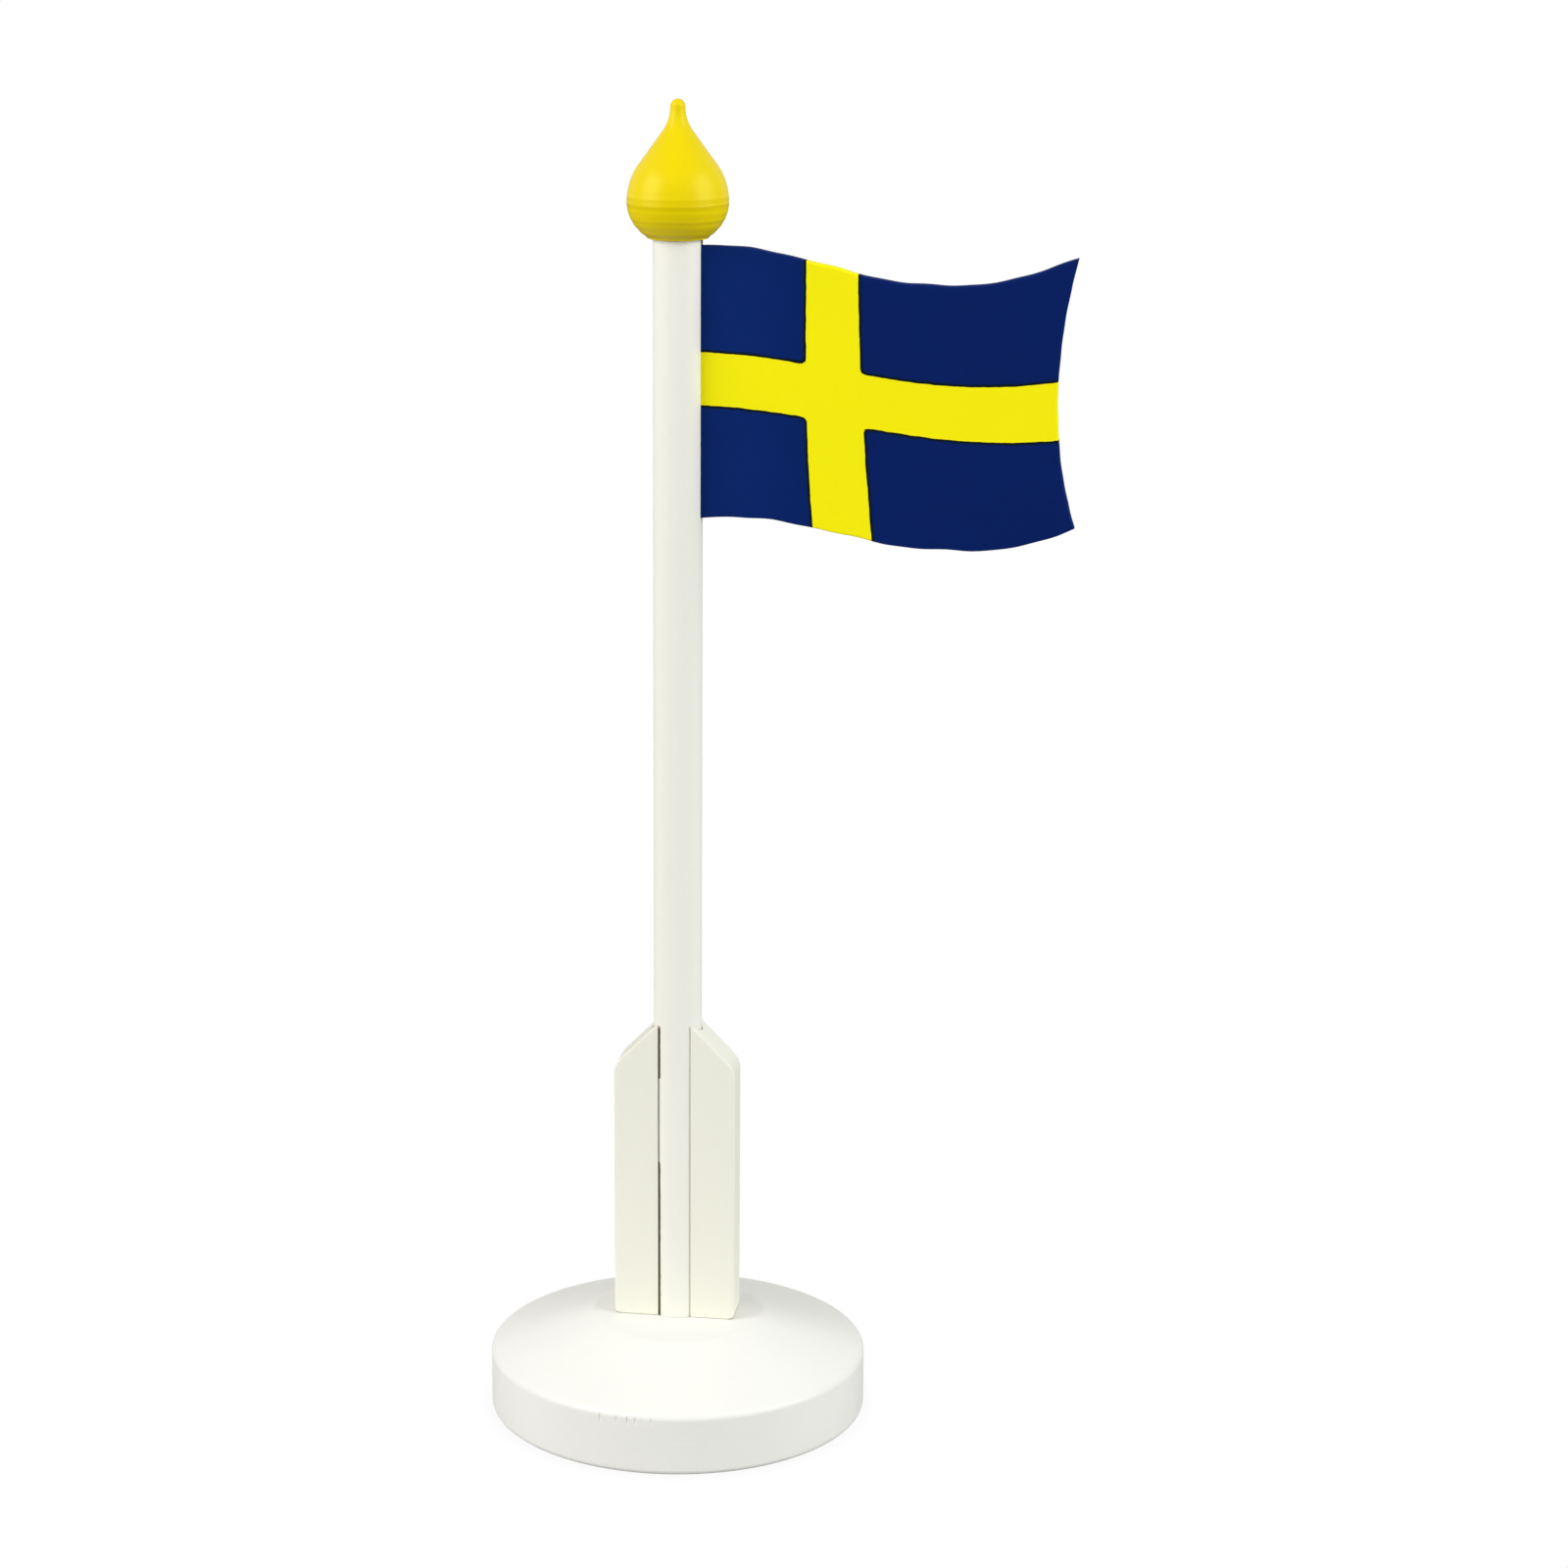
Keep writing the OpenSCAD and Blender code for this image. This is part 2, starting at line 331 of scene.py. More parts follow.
feed(tree, point.inputs["Scale"], calc(tree, "DIVIDE", 1.0, given["Peel Size"]))
peel = calc(tree, "MULTIPLY", noise(tree, point.outputs[0], 1.0, 1.0), given["Peel"])
specks = ramp(tree, noise(tree, given["Point"], 0.9, 0.0), 0.80, 0.88, 0.0, 0.02)
feed(tree, out["Height"], calc(tree, "ADD", peel, specks))

# %% [markdown]
# Turned work keeps the marks of the tool: faint rings round the axis, unevenly spaced and of
# uneven depth. They follow the cut, so the group reads them from the distance that the tool has
# travelled, which the radius and the height together stand for.

# %% Node group: turning marks
turning_marks, given, out = new_group(
    "turning marks",
    [("Point", "Vector", (0, 0, 0)), ("Pitch", "Float", 0.8), ("Depth", "Float", 0.01)],
    [("Height", "Float"), ("Mask", "Float")])
tree = turning_marks
parts = add_node(tree, "SeparateXYZ")
feed(tree, parts.inputs[0], given["Point"])
across = calc(tree, "SQRT", calc(tree, "ADD", calc(tree, "POWER", parts.outputs["X"], 2.0),
                                 calc(tree, "POWER", parts.outputs["Y"], 2.0)))
sway = calc(tree, "MULTIPLY", noise(tree, given["Point"], 30.0, 1.0), 2.0)
travel = calc(tree, "SUBTRACT", across, calc(tree, "MULTIPLY", parts.outputs["Z"], 1.3))
travel = calc(tree, "DIVIDE", calc(tree, "ADD", travel, sway), given["Pitch"])
rings = add_node(tree, "TexNoise", noise_dimensions="1D")
feed(tree, rings.inputs["W"], travel)
rings.inputs["Scale"].default_value = 1.0
rings.inputs["Detail"].default_value = 2.0
feed(tree, out["Height"], calc(tree, "MULTIPLY", rings.outputs["Fac"], given["Depth"]))
feed(tree, out["Mask"], ramp(tree, rings.outputs["Fac"], 0.45, 0.7))

# %% [markdown]
# Under paint, wood still shows its grain as long shallow furrows. Bare, it shows them as darker
# lines too. One group serves both: it gives the furrows as a height, and the same lines as a
# mask that the bare wood uses for its colour. The grain runs along Z, as it does in a dowel and
# in a board that stands on its end.

# %% Node group: wood grain
wood_grain, given, out = new_group(
    "wood grain",
    [("Point", "Vector", (0, 0, 0)), ("Spacing", "Float", 1.0), ("Depth", "Float", 0.01)],
    [("Height", "Float"), ("Lines", "Float"), ("Flecks", "Float")])
tree = wood_grain
point = add_node(tree, "VectorMath", operation="SCALE")
feed(tree, point.inputs[0], given["Point"])
feed(tree, point.inputs["Scale"], calc(tree, "DIVIDE", 1.0, given["Spacing"]))
lines = noise(tree, point.outputs[0], (1.0, 1.0, 28.0), 3.0)
feed(tree, out["Height"], calc(tree, "MULTIPLY", lines, given["Depth"]))
feed(tree, out["Lines"], ramp(tree, lines, 0.38, 0.66))
feed(tree, out["Flecks"], ramp(tree, noise(tree, given["Point"], (0.35, 0.35, 1.8), 0.0), 0.66, 0.76))

# %% [markdown]
# Where two pieces meet, dust and polish collect in the corner, and shade falls there. An ambient
# occlusion node measures how shut in a spot is within a millimetre or so, and noise breaks the
# line up. The mask paints that shade, with the dust, as a darker colour.

# %% Node group: painted shade and grime in corners
corner_shade_and_grime, given, out = new_group(
    "corner shade and grime",
    [("Point", "Vector", (0, 0, 0)), ("Reach", "Float", 1.2), ("Amount", "Float", 0.8)],
    [("Mask", "Float")])
tree = corner_shade_and_grime
# Darker where a spot is shut in: this paints shade into corners and gaps, with some grime.
shut = add_node(tree, "AmbientOcclusion", samples=8)
feed(tree, shut.inputs["Distance"], calc(tree, "MULTIPLY", given["Reach"], MM))
corner = ramp(tree, shut.outputs["AO"], 0.15, 0.62, 1.0, 0.0)
patchy = ramp(tree, noise(tree, given["Point"], (3.0, 3.0, 6.0), 3.0), 0.25, 0.6, 0.45, 1.0)
feed(tree, out["Mask"], calc(tree, "MULTIPLY", calc(tree, "MULTIPLY", corner, patchy), given["Amount"]))

# %% [markdown]
# ## Helpers for materials
#
# Every piece's object sits at the origin, so its object coordinates are the frame's own, and
# they travel with the piece when its joint moves. Heights are in millimetres, and the bump node
# is told so by its distance.

# %% Material helpers
def new_material(name, specular=0.5):
    """A material with its tree, its Principled shader and the surface point in millimetres."""
    material = bpy.data.materials.new(name)
    material.use_nodes = True
    tree = material.node_tree
    shader = tree.nodes["Principled BSDF"]
    shader.inputs["Specular IOR Level"].default_value = specular
    point = stretch(tree, add_node(tree, "TexCoord").outputs["Object"], (1 / MM,) * 3)
    print("material", name)
    return material, tree, shader, point


def bump(tree, shader, height):
    """Roughens the surface by a height in millimetres."""
    made = add_node(tree, "Bump")
    made.inputs["Distance"].default_value = MM
    feed(tree, made.inputs["Height"], height)
    feed(tree, shader.inputs["Normal"], made.outputs["Normal"])


# The colour that the corner mask mixes in: painted shade in corners and joints, with some grime.
SHADE_AND_GRIME = srgb(112, 98, 66)

# %% [markdown]
# ## Bare wood
#
# Beech, as turners use it for small pieces: pale and pinkish, with fine lines and short darker
# flecks. It shows only where paint would spoil a fit or never reached: in the pole's socket, on
# the pole's foot and the sides that the cheeks hide, in the grooves, the screw holes and the saw
# cut, and on the pin inside the finial.

# %% Bare beech
BEECH, BEECH_LINE, BEECH_FLECK = srgb(214, 180, 138), srgb(186, 144, 100), srgb(150, 104, 66)


def beech(tree, point):
    """The colour and the height of bare beech at a point."""
    grain = place(tree, wood_grain, Point=point, Spacing=0.9, Depth=0.03)
    colour = mix(tree, grain["Lines"], BEECH, BEECH_LINE)
    colour = mix(tree, calc(tree, "MULTIPLY", grain["Flecks"], 0.7), colour, BEECH_FLECK)
    return colour, grain["Height"]


bare_wood, tree, shader, point = new_material("bare_beech", specular=0.3)
colour, height = beech(tree, point)
# Darker in the socket, the holes and the grooves: the corner mask paints shade into these recesses,
# with some grime.
shade_and_grime = place(tree, corner_shade_and_grime, Point=point, Reach=3.0, Amount=0.7)["Mask"]
feed(tree, shader.inputs["Base Color"], mix(tree, shade_and_grime, colour, srgb(92, 66, 40)))
feed(tree, shader.inputs["Roughness"], ramp(tree, noise(tree, point, 2.0), 0.2, 0.8, 0.55, 0.75))
bump(tree, shader, height)

# %% [markdown]
# ## Ivory paint
#
# Base, cheeks and pole share one ivory enamel, but the wood under it differs: the base was
# turned and shows rings, the cheeks and the pole show their grain. So one function makes the
# materials of the base and of the cheeks, and each asks for the marks of its own wood. The pole
# has its own, further down, because part of it stayed bare.

# %% Ivory paint
# One ivory paint, toned a little differently for the light on each piece: the base's is a touch darker,
# as its top catches the most light.
IVORY, IVORY_ON_BOARDS, IVORY_ON_POLE = srgb(235, 234, 228), srgb(238, 237, 223), srgb(240, 239, 228)
# How strongly the corner mask paints shade and grime at the cheeks' feet, and above them.
SHADE_AND_GRIME_AT_FEET, SHADE_AND_GRIME_ABOVE = 0.7, 0.12  # how much grime lies at the cheeks' feet and above them


def ivory_paint(name, colour, ring_depth=0.0, grain_depth=0.0):
    """Ivory enamel over wood that was turned, sawn or both."""
    material, tree, shader, point = new_material(name, specular=0.4)
    film = place(tree, paint_film, Point=point, Colour=colour, Drift=0.035, Peel=0.006, Gloss=0.42)
    height = film["Height"]
    if ring_depth:
        rings = place(tree, turning_marks, Point=point, Pitch=1.1, Depth=ring_depth)
        height = calc(tree, "ADD", height, rings["Height"])
    if grain_depth:
        grain = place(tree, wood_grain, Point=point, Spacing=1.3, Depth=grain_depth)
        height = calc(tree, "ADD", height, grain["Height"])
    parts = add_node(tree, "SeparateXYZ")
    feed(tree, parts.inputs[0], point)
    # Darker where the cheeks meet the base and in other corners: painted shade, with some grime.
    at_foot = ramp(tree, parts.outputs["Z"], base_h + 0.3, base_h + 0.9, SHADE_AND_GRIME_AT_FEET, SHADE_AND_GRIME_ABOVE)
    shade_and_grime = place(tree, corner_shade_and_grime, Point=point, Reach=0.7, Amount=at_foot)["Mask"]
    feed(tree, shader.inputs["Base Color"], mix(tree, shade_and_grime, film["Colour"], SHADE_AND_GRIME))
    feed(tree, shader.inputs["Roughness"], calc(tree, "ADD", film["Roughness"],
                                                calc(tree, "MULTIPLY", shade_and_grime, 0.3), clamp=True))
    bump(tree, shader, height)
    return material


turned_paint = ivory_paint("ivory_paint_turned", IVORY, ring_depth=0.012)
board_paint = ivory_paint("ivory_paint_board", IVORY_ON_BOARDS, grain_depth=0.010)

# %% [markdown]
# The pole's foot was left bare so that it still goes into its socket, and so was the strip that
# each cheek hides, because the stand was painted with the pole in it. So the pole's material
# turns from paint to bare wood there, along an uneven line, with a darker band inside it that
# paints the shade deep in the gap, with some dust. The left strip is the wider one, because that
# cheek stands off a little, and its darker wood also paints the shade in the left gap. The brush
# pulled the paint over the gap only for a stretch in the middle.

# %% Paint on the pole
PAINT_STOPS = base_h - 1.5  # height of the paint's lower edge
STRIP_TOP = cheek_top + 4.0 - 0.8  # up plus across, because the cheeks' tops slope at 45 degrees
LEFT_STRIP, LEFT_STRIP_BRIDGED, RIGHT_STRIP = 4.75, 3.9, 3.8  # half widths, front to back
BRIDGE_LOW, BRIDGE_HIGH = 65.5, 87.5  # heights between which paint reaches over the left gap
# The colour deep in the gap between pole and cheek: painted shade, with dust.
DUST_AND_GAP_SHADE = srgb(140, 136, 106)
pole_paint, tree, shader, point = new_material("ivory_paint_pole", specular=0.4)
film = place(tree, paint_film, Point=point, Colour=IVORY_ON_POLE, Drift=0.035, Peel=0.005,
             Peel_Size=1.6, Gloss=0.42)
wood = beech(tree, point)[0]
parts = add_node(tree, "SeparateXYZ")
feed(tree, parts.inputs[0], point)
across, front, up = parts.outputs
ragged = noise(tree, point, (0.7, 0.7, 1.8), 3.0)
painted = ramp(tree, calc(tree, "ADD", up, calc(tree, "MULTIPLY", ragged, 1.4)), PAINT_STOPS + 0.4,
               PAINT_STOPS + 0.8)
bridged = calc(tree, "MULTIPLY", ramp(tree, up, BRIDGE_LOW - 0.6, BRIDGE_LOW + 0.6),
               ramp(tree, up, BRIDGE_HIGH - 0.6, BRIDGE_HIGH + 0.6, 1.0, 0.0))
left = ramp(tree, bridged, 0.0, 1.0, LEFT_STRIP, LEFT_STRIP_BRIDGED)
half_width = ramp(tree, across, -1.0, 1.0, left, RIGHT_STRIP)
off = calc(tree, "SUBTRACT", calc(tree, "ABSOLUTE", front), half_width)
off = calc(tree, "ADD", off, calc(tree, "MULTIPLY", calc(tree, "SUBTRACT", ragged, 0.5), 0.3))
climb = calc(tree, "ADD", calc(tree, "ADD", up, ragged), calc(tree, "ABSOLUTE", across))
strip = calc(tree, "MULTIPLY", ramp(tree, off, -0.05, 0.05, 1.0, 0.0),
             ramp(tree, climb, STRIP_TOP - 0.1, STRIP_TOP + 0.3, 1.0, 0.0))
painted = calc(tree, "MULTIPLY", painted, calc(tree, "SUBTRACT", 1.0, strip))
grain = place(tree, wood_grain, Point=point, Spacing=1.0, Depth=0.012)
shade_and_grime = place(tree, corner_shade_and_grime, Point=point, Reach=0.6, Amount=SHADE_AND_GRIME_ABOVE)["Mask"]
# Deep inside the strip, where the gap is darkest, the wood turns to that colour: painted shade and
# dust.
dust_and_gap_shade = calc(tree, "MULTIPLY", strip, ramp(tree, off, -1.5, -0.7))
colour = mix(tree, painted, mix(tree, dust_and_gap_shade, wood, DUST_AND_GAP_SHADE), film["Colour"])
feed(tree, shader.inputs["Base Color"], mix(tree, shade_and_grime, colour, SHADE_AND_GRIME))
feed(tree, shader.inputs["Roughness"], ramp(tree, painted, 0.0, 1.0, 0.62, film["Roughness"]))
height = calc(tree, "ADD", calc(tree, "ADD", film["Height"], grain["Height"]),
              calc(tree, "MULTIPLY", painted, 0.08))
bump(tree, shader, height)

# %% [markdown]
# ## Yellow enamel
#
# The drop has a shinier coat. Its turning marks show most near its foot, where the tool had to
# work upwards against the pole's end, so a mask along Z fades them out towards the tip. Along
# the rings the yellow is darkened too: paint pooled there, and painted shade of the rings.

# %% Yellow enamel
# The darker yellow stands for paint pooled along the rings and for painted shade in them.
ENAMEL, ENAMEL_POOLED_AND_SHADED = srgb(233, 209, 0), srgb(190, 160, 0)  # a thin coat, and paint pooled in a furrow
yellow_enamel, tree, shader, point = new_material("yellow_enamel", specular=0.33)
film = place(tree, paint_film, Point=point, Colour=ENAMEL, Drift=0.05, Peel=0.004,
             Peel_Size=0.9, Gloss=0.34)
rings = place(tree, turning_marks, Point=point, Pitch=1.9, Depth=0.13)
parts = add_node(tree, "SeparateXYZ")
feed(tree, parts.inputs[0], point)
near_foot = ramp(tree, parts.outputs["Z"], pole_top + 9, pole_top + 12, 1.0, 0.0)
shader.inputs["Specular Tint"].default_value = (1.0, 0.88, 0.32, 1.0)
height = calc(tree, "ADD", film["Height"], calc(tree, "MULTIPLY", rings["Height"], near_foot))
# Darker along the rings near the foot: pooled paint, and painted shade of the rings.
pooled_and_shaded = calc(tree, "MULTIPLY", calc(tree, "MULTIPLY", rings["Mask"], near_foot), 0.3)
feed(tree, shader.inputs["Base Color"], mix(tree, pooled_and_shaded, film["Colour"], ENAMEL_POOLED_AND_SHADED))
feed(tree, shader.inputs["Roughness"], film["Roughness"])
bump(tree, shader, height)

# %% [markdown]
# ## Flag paint
#
# The plate was painted yellow and blue by hand over a drawn cross. Each point of its mesh
# carries one number, named cross: its distance from the edge of the cross in millimetres, below
# zero inside it. The material turns that number into yellow, a dark line where the blue was cut
# in with a fine brush, and blue. Noise makes the line waver, and the blue film stands a little
# higher than the yellow one.

# %% Flag paint
FLAG_YELLOW, FLAG_LINE = srgb(248, 238, 10), srgb(6, 20, 30)
HOIST_BLUE, FLY_BLUE = srgb(4, 37, 106), srgb(2, 30, 96)
flag_paint, tree, shader, point = new_material("flag_paint", specular=0.07)
edge = add_node(tree, "Attribute", attribute_name="cross").outputs["Fac"]
waver = calc(tree, "SUBTRACT", noise(tree, point, 2.4, 4.0), 0.5)
edge = calc(tree, "ADD", edge, calc(tree, "MULTIPLY", waver, 0.4))
line_end = calc(tree, "ADD", 0.45, calc(tree, "MULTIPLY", noise(tree, point, 4.0), 0.4))
off_yellow = ramp(tree, edge, -0.06, 0.08)
off_line = ramp(tree, calc(tree, "SUBTRACT", edge, line_end), -0.12, 0.12)
parts = add_node(tree, "SeparateXYZ")
feed(tree, parts.inputs[0], point)
blue = mix(tree, ramp(tree, parts.outputs["X"], 6, 50), HOIST_BLUE, FLY_BLUE)
blue_film = place(tree, paint_film, Point=point, Colour=blue, Drift=0.22, Peel=0.008, Gloss=0.5)
yellow_film = place(tree, paint_film, Point=point, Colour=FLAG_YELLOW, Drift=0.03, Peel=0.006,
                    Gloss=0.45)
colour = mix(tree, off_yellow, yellow_film["Colour"], FLAG_LINE)
feed(tree, shader.inputs["Base Color"], mix(tree, off_line, colour, blue_film["Colour"]))
feed(tree, shader.inputs["Roughness"], blue_film["Roughness"])
brush = noise(tree, point, (14.0, 6.0, 0.5), 2.0)
height = calc(tree, "ADD", blue_film["Height"], calc(tree, "MULTIPLY", off_yellow, 0.05))
bump(tree, shader, calc(tree, "ADD", height, calc(tree, "MULTIPLY", brush, 0.012)))

# %% [markdown]
# ## Zinc
#
# The screws under the base are zinc plated: grey, slightly mottled, and darker in the recess,
# where the corner mask paints shade and some grime.

# %% Zinc
zinc, tree, shader, point = new_material("zinc_plate")
mottle = ramp(tree, noise(tree, point, 0.8, 3.0), 0.3, 0.7)
shade_and_grime = place(tree, corner_shade_and_grime, Point=point, Reach=0.8, Amount=0.8)["Mask"]
colour = mix(tree, mottle, srgb(176, 178, 182), srgb(206, 208, 210))
feed(tree, shader.inputs["Base Color"], mix(tree, shade_and_grime, colour, srgb(70, 66, 60)))
feed(tree, shader.inputs["Roughness"], ramp(tree, mottle, 0.0, 1.0, 0.42, 0.28))
shader.inputs["Metallic"].default_value = 1.0
bump(tree, shader, calc(tree, "MULTIPLY", noise(tree, point, 0.3), 0.006))

# %% [markdown]
# ## Helpers for shapes
#
# Most pieces here are turned, so one helper revolves an outline. An outline is a list of
# (radius, height) points with rounded corners, and it gets extra points along its straight
# stretches, so that tool marks have something to shape.

# %% Outlines
def arc(centre, r, start, end, steps=8):
    """Points along an arc, from the angle start to the angle end, in degrees."""
    turns = [math.radians(start + (end - start) * i / steps) for i in range(steps + 1)]
    return [(centre[0] + r * math.cos(t), centre[1] + r * math.sin(t)) for t in turns]


def round_corner(before, corner, after, r, steps=8):
    """The points that replace a corner by an arc of radius r."""
    q = Vector(corner)
    u, v = (Vector(before) - q).normalized(), (Vector(after) - q).normalized()
    half = u.angle(v) / 2
    centre = q + (u + v).normalized() * r / math.sin(half)
    first, last = (q + side * r / math.tan(half) - centre for side in (u, v))
    start = math.degrees(math.atan2(first.y, first.x))
    sweep = math.degrees(math.atan2(last.y, last.x)) - start
    sweep = (sweep + 180) % 360 - 180
    return arc(centre, r, start, start + sweep, steps)


def rounded(points, closed=False, steps=8):
    """An outline from (x, y, corner radius) points."""
    n = len(points)
    made = []
    for i, (x, y, r) in enumerate(points):
        inner = closed or 0 < i < n - 1
        if r and inner:
            made += round_corner(points[i - 1][:2], (x, y), points[(i + 1) % n][:2], r, steps)
        else:
            made.append((x, y))
    return made


def spaced(points, step):
    """The same outline with extra points, so that no stretch is longer than step."""
    made = [points[0]]
    for a, b in zip(points, points[1:]):
        parts = max(1, math.ceil(math.dist(a, b) / step))
        made += [(a[0] + (b[0] - a[0]) * i / parts, a[1] + (b[1] - a[1]) * i / parts)
                 for i in range(1, parts + 1)]
    return made


# %% Meshes
def mesh_piece(name, points, faces, crease=35):
    """A mesh object from points in millimetres, smooth apart from edges sharper than crease."""
    mesh = bpy.data.meshes.new(name)
    mesh.from_pydata((np.array(points, float) * MM).tolist(), [], faces)
    mesh.shade_smooth()
    mesh.set_sharp_from_angle(angle=math.radians(crease))
    piece = bpy.data.objects.new(name, mesh)
    bpy.context.scene.collection.objects.link(piece)
    return piece


def turned(name, outline, angles, touch=None):
    """Revolves an outline that starts and ends on the axis. touch may shift its rings."""
    radius, height = (np.array(c, float)[:, None] for c in zip(*outline[1:-1]))
    angle = np.radians(np.array(angles, float))[None, :]
    radius, height = radius + 0 * angle, height + 0 * angle
    if touch:
        radius, height = touch(radius, height, angle)
    rings = np.stack([radius * np.cos(angle), radius * np.sin(angle), height], axis=-1)
    rows, n = height.shape
    points = rings.reshape(-1, 3).tolist() + [(0, 0, outline[0][1]), (0, 0, outline[-1][1])]
    first, last = rows * n, rows * n + 1
    faces = [(i * n + j, i * n + (j + 1) % n, (i + 1) * n + (j + 1) % n, (i + 1) * n + j)
             for i in range(rows - 1) for j in range(n)]
    faces += [(first, (j + 1) % n, j) for j in range(n)]
    faces += [(last, (rows - 1) * n + j, (rows - 1) * n + (j + 1) % n) for j in range(n)]
    return mesh_piece(name, points, faces)


def settle(piece):
    """Makes the result of a piece's modifiers its own mesh."""
    bpy.context.view_layer.update()
    result = piece.evaluated_get(bpy.context.evaluated_depsgraph_get())
    mesh = bpy.data.meshes.new_from_object(result)
    piece.modifiers.clear()
    piece.data = mesh
    return piece


def cut(piece, *cutters):
    """Takes the cutters' volumes out of a piece, as a drill or a saw does."""
    for cutter in cutters:
        step = piece.modifiers.new("cut", "BOOLEAN")
        step.operation, step.solver, step.object = "DIFFERENCE", "EXACT", cutter
    settle(piece)
    for cutter in cutters:
        bpy.data.objects.remove(cutter)
    piece.data.set_sharp_from_angle(angle=math.radians(35))
    return piece


def paint(piece, main, inner=None, where=None):
    """Gives a piece its material, and another one to the faces whose centre passes the test."""
    piece.data.materials.clear()
    piece.data.materials.append(main)
    if inner:
        piece.data.materials.append(inner)
        for face in piece.data.polygons:
            face.material_index = int(where(*(c / MM for c in face.center)))


def hand_over(piece, body, slot, *nodes):
    """Lets a finished piece stand for its CAD nodes and move with their body."""
    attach(piece, body)
    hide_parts(*nodes)
    print(piece.name, "stands for", nodes, "with", len(piece.data.polygons), "faces")


# %% [markdown]
# ## The base
#
# A disc turned from one block: an upright wall with a rounded rim, a shallow cone, and a flat
# boss in the middle with the pole's socket. It could be a cylinder with bevels, but a revolved
# outline gives the cone, the rims and the socket at once, and it lets the lathe's faint ripple
# and the small dents in the rim be real shape. The dents crowd on one stretch of the rim, so
# the angles are closer together there.

# %% Outline of the base
WALL_H, BOSS_R = 15.5, 21.75
RIM_ROUND, FOOT_ROUND, BOSS_ROUND = 1.8, 1.4, 6
SOCKET_R = pole_r + 0.05
base_outline = rounded([(0, 0, 0), (base_r, 0, FOOT_ROUND), (base_r, WALL_H, RIM_ROUND),
                        (BOSS_R, base_h, BOSS_ROUND), (SOCKET_R, base_h, 0.25),
                        (SOCKET_R, pole_foot, 0), (0, pole_foot, 0)], steps=10)
base_outline = spaced(base_outline, 0.7)
print("base outline has", len(base_outline), "points")

# %% Dents in the rim
# Each dent: its angle and its width in degrees, its depth and how tall it is in millimetres.
DENTS = [(-104.5, 0.22, 0.30, 1.1), (-99.3, 0.28, 0.28, 0.7), (-97.6, 0.34, 0.10, 0.9),
         (-95.9, 0.26, 0.40, 0.8), (-93.4, 0.30, 0.34, 0.6), (-91.2, 0.50, 0.08, 0.7),
         (-88.7, 0.25, 0.30, 0.6)]
DENTED = (-107, -86)  # the stretch of rim that they lie on
DENTS_UP = WALL_H - RIM_ROUND * 0.8  # the height of their middles
OUT_OF_ROUND = 0.02


def lathe_and_dents(radius, height, angle):
    """Ripples the skin a little, as a hand-held tool does, and presses the dents into the rim."""
    skin = height > 1.5
    ripple = 0.006 * np.sin(height * 5.1 + angle * 2) + 0.008 * np.sin(radius * 1.7 + 3 * angle)
    out_of_round = OUT_OF_ROUND * (np.cos(2 * angle + 0.6) - 1)
    radius = radius + np.where(radius > SOCKET_R + 1, out_of_round * radius / base_r, 0)
    height = height + np.where(skin & (radius > SOCKET_R + 1) & (radius < base_r - 2), ripple, 0)
    for turn, width, depth, tall in DENTS:
        off = (np.degrees(angle) - turn) / width
        up = (height - DENTS_UP) / tall
        press = depth * np.exp(-off ** 2 - up ** 2)
        radius = radius - np.where(radius > base_r - 3, press, 0)
        height = height - np.where(radius > base_r - 3, 0.5 * press, 0)
    return radius, height


coarse = [a for a in np.arange(-180, 180, 1.25) if not DENTED[0] < a < DENTED[1]]
base_angles = sorted([*coarse, *np.arange(DENTED[0], DENTED[1], 0.13)])
turned_base = turned("turned_base", base_outline, base_angles, lathe_and_dents)

# %% [markdown]
# Two screws come up through the base, one into each cheek. Each goes in through a counterbore
# and a countersink, which are cut from below with a Boolean.

# %% Screw holes
COUNTERBORE, COUNTERBORE_R, COUNTERSINK, SCREW_HOLE_R, HEAD_R = 6.0, 3.5, 1.5, 1.6, 3.0
screw_reach = 10.6  # from the pole's axis to a screw's, where the cheek doesn't stand off
screw_xs = (screw_reach, -screw_reach - left_stand_off)


def screw_way(x):
    """What the drill, the counterbore and the countersink take away."""
    outline = [(0, -1), (COUNTERBORE_R, -1), (COUNTERBORE_R, COUNTERBORE), (HEAD_R, COUNTERBORE),
               (SCREW_HOLE_R, COUNTERBORE + COUNTERSINK - 0.1), (SCREW_HOLE_R, base_h + 1),
               (0, base_h + 1)]
    drill = turned("drill", outline, range(0, 360, 6))
    drill.location.x = x * MM
    return drill


cut(turned_base, *[screw_way(x) for x in screw_xs])


def inside_base(x, y, z):
    """True in the socket and in the screw holes, which are bare."""
    in_socket = math.hypot(x, y) < SOCKET_R + 0.1 and z > 1
    in_screw_way = any(math.hypot(x - at, y) < COUNTERBORE_R + 0.01 for at in screw_xs) and z > 0.05
    return z < base_h - 0.3 and (in_socket or in_screw_way)


paint(turned_base, turned_paint, bare_wood, inside_base)
hand_over(turned_base, "stand", "ivory_paint", "base")

# %% [markdown]
# ## The cheeks
#
# Each cheek is a short board with a sloping top and a groove that fits round the pole. Sanding
# and paint soften its arrises, and the thin edges beside the groove most of all, because there
# is least wood behind them. A bevel would need every edge's width set by hand and fails on such
# an acute edge. So the sharp board is remeshed into small voxels and smoothed: thin edges then
# shrink back by themselves, as they do under sandpaper.

# %% The sharp board
CHEEK_INNER, CHEEK_T, SLOPE = 4.0, 10.0, math.radians(45)
SHOULDER_ROUND, CHEEK_FOOT_ROUND, GROOVE_R, PILOT_R, PILOT_TOP = 6.0, 1.4, pole_r + 0.05, 1.55, 37.0


